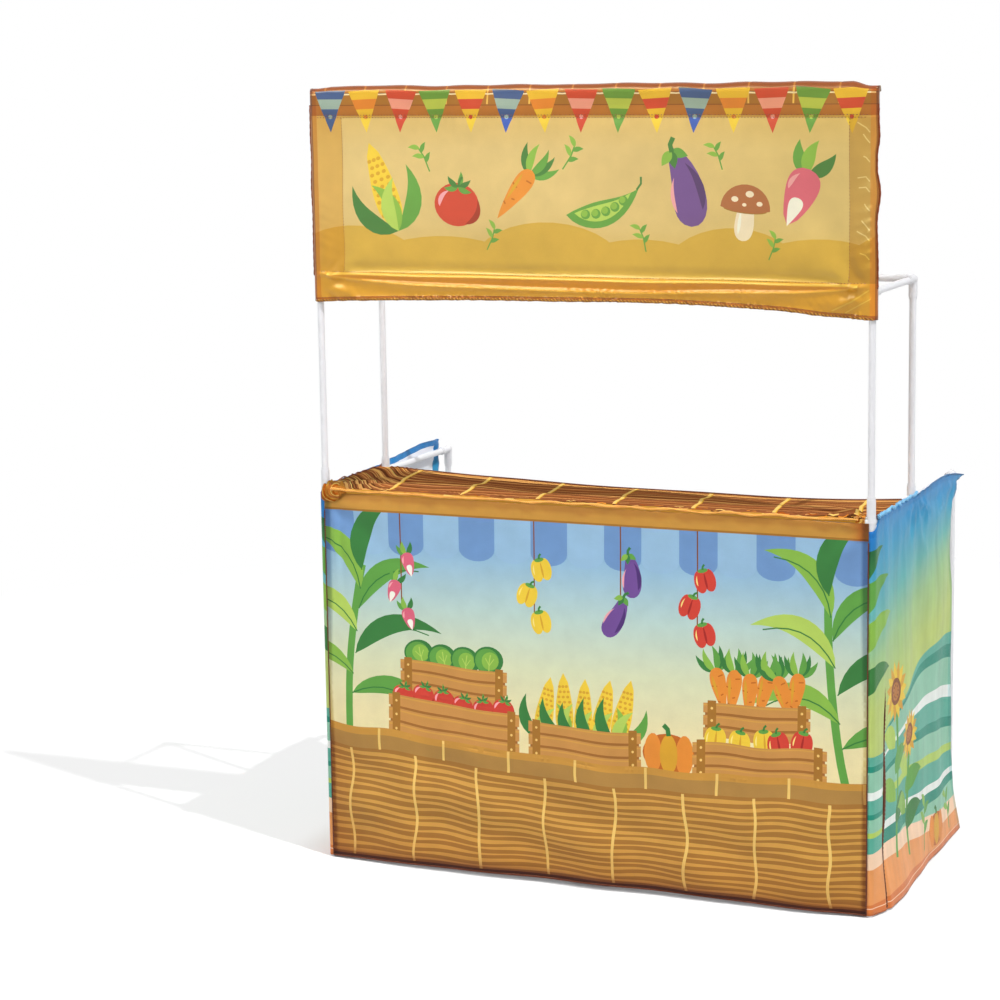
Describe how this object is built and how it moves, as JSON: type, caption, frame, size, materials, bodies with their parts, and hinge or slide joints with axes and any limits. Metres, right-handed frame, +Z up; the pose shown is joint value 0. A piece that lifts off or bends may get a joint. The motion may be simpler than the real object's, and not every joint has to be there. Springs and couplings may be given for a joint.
{
  "type": "toy market stall",
  "caption": "Free-standing toy market stall: a push-fit plastic tube frame with a cloth counter, front and side panels, a serving window and a cloth header above it.",
  "frame": {"origin": "on the floor, in the middle of the outline", "axes": "+Z up, -Y towards the customer's side, +X to the right as seen from the customer's side"},
  "size_m": [0.9638, 0.553, 1.2959],
  "materials": {
    "tube": "satin",
    "connector": "satin",
    "front_cloth": "printed satin polyester",
    "counter_cloth": "printed satin polyester",
    "side_cloth": "printed satin polyester",
    "header_cloth": "printed satin polyester"
  },
  "bodies": {
    "base_frame": {"base_corner_left": "connector", "base_corner_right": "connector", "base_rear_elbow_left": "connector", "base_rear_elbow_right": "connector", "base_front_tube_left": "tube", "base_front_tube_right": "tube", "base_front_coupler": "connector", "base_side_tube_left": "tube", "base_side_tube_right": "tube", "front_leg_left": "tube", "front_leg_right": "tube", "rear_leg_left": "tube", "rear_leg_right": "tube", "counter_corner_left": "connector", "counter_corner_right": "connector", "counter_tee_left": "connector", "counter_tee_right": "connector", "counter_front_tube_left": "tube", "counter_front_tube_right": "tube", "counter_front_coupler": "connector", "counter_side_tube_left": "tube", "counter_side_tube_right": "tube", "wing_tube_left": "tube", "wing_tube_right": "tube", "wing_elbow_left": "connector", "wing_elbow_right": "connector", "front_panel": "front_cloth", "counter_panel": "counter_cloth", "side_panel_left": "side_cloth", "side_panel_right": "side_cloth"},
    "upper_frame": {"front_post_left": "tube", "front_post_right": "tube", "back_post_left": "tube", "back_post_right": "tube", "canopy_tee_left": "connector", "canopy_tee_right": "connector", "canopy_corner_left": "connector", "canopy_corner_right": "connector", "canopy_front_tube_left": "tube", "canopy_front_tube_right": "tube", "canopy_front_coupler": "connector", "canopy_back_tube_left": "tube", "canopy_back_tube_right": "tube", "canopy_back_coupler": "connector", "canopy_side_tube_left": "tube", "canopy_side_tube_right": "tube", "header_post_left": "tube", "header_post_right": "tube", "header_elbow_left": "connector", "header_elbow_right": "connector", "header_top_tube_left": "tube", "header_top_tube_right": "tube", "header_top_coupler": "connector", "header_panel": "header_cloth", "header_top_sleeve": "header_cloth", "header_bottom_sleeve": "header_cloth", "header_side_sleeve_left": "header_cloth", "header_side_sleeve_right": "header_cloth"}
  },
  "joints": [
    {"name": "upper_frame_lift", "type": "slide", "parent": "base_frame", "child": "upper_frame", "axis": [0, 0, 1], "range_m": [0, 0.03]}
  ]
}
